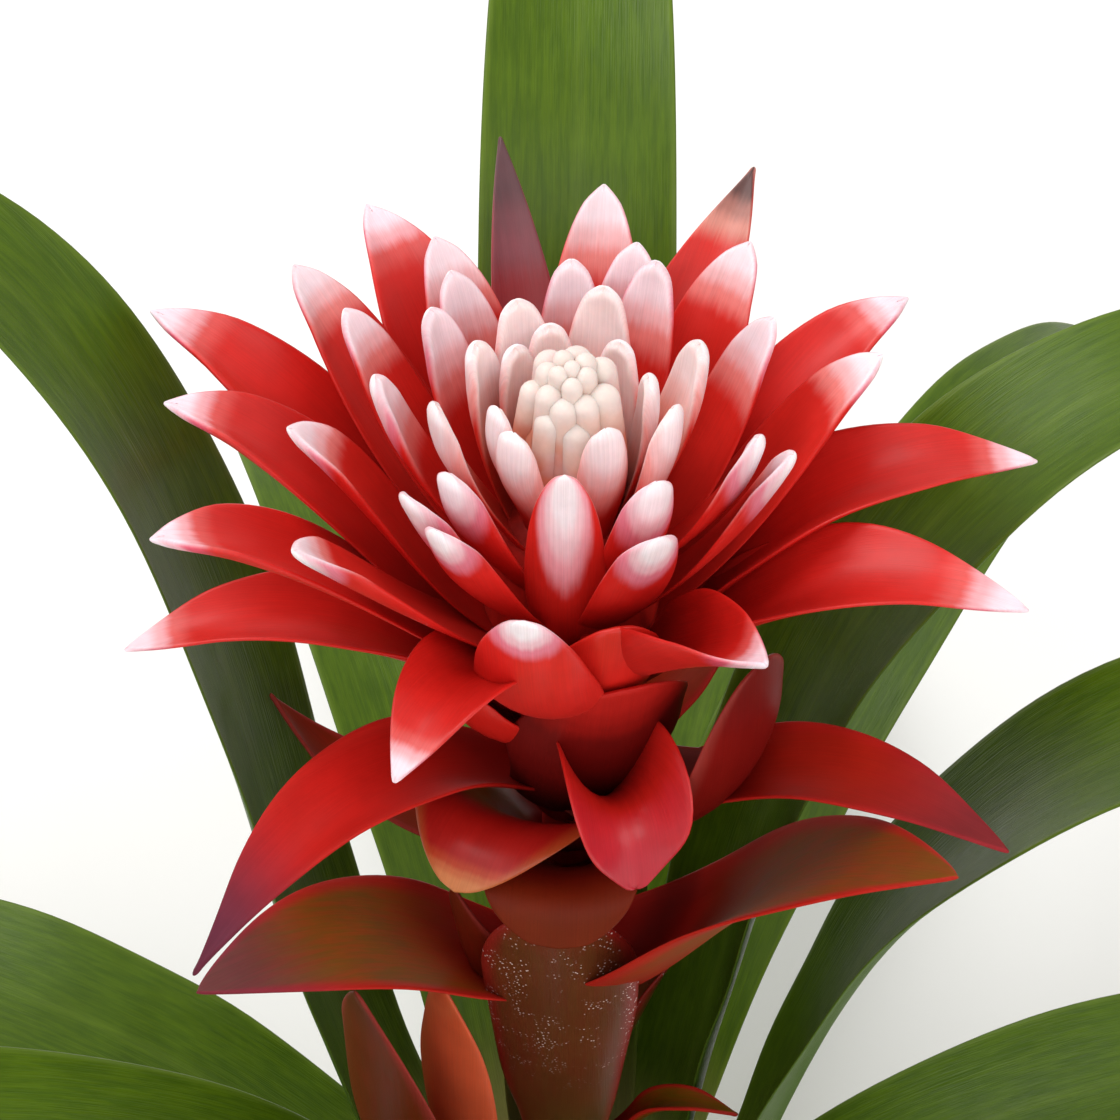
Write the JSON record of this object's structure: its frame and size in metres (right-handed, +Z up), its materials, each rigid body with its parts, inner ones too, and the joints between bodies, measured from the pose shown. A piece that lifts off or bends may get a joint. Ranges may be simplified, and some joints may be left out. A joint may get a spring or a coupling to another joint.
{
  "type": "guzmania plant",
  "caption": "Guzmania in bloom, cut flat at its foot: a rosette of arching strap leaves, a stalk clasped by bracts, and a head of red bracts with white tips round a cream cone.",
  "frame": {"origin": "centre of the flat cut face at the foot, which the plant stands on", "axes": "+Z up along the stalk, -Y to the front of the plant as pictured, +X to its right"},
  "size_m": [0.5656, 0.5609, 0.3444],
  "materials": {
    "stem": "matte",
    "leaf": "satin",
    "stalk_bract": "satin",
    "red_bract": "satin",
    "cream_cone": "matte"
  },
  "bodies": {
    "root": {"stem": "stem", "leaf_01": "leaf", "leaf_02": "leaf", "leaf_03": "leaf", "leaf_04": "leaf", "leaf_05": "leaf", "leaf_06": "leaf", "leaf_07": "leaf", "leaf_08": "leaf", "leaf_09": "leaf", "leaf_10": "leaf", "leaf_11": "leaf", "leaf_12": "leaf", "leaf_13": "leaf", "leaf_14": "leaf", "stalk_bract_01": "stalk_bract", "stalk_bract_02": "stalk_bract", "stalk_bract_03": "stalk_bract", "stalk_bract_04": "stalk_bract", "head_bracts": "red_bract", "head_cone": "cream_cone"}
  },
  "joints": []
}
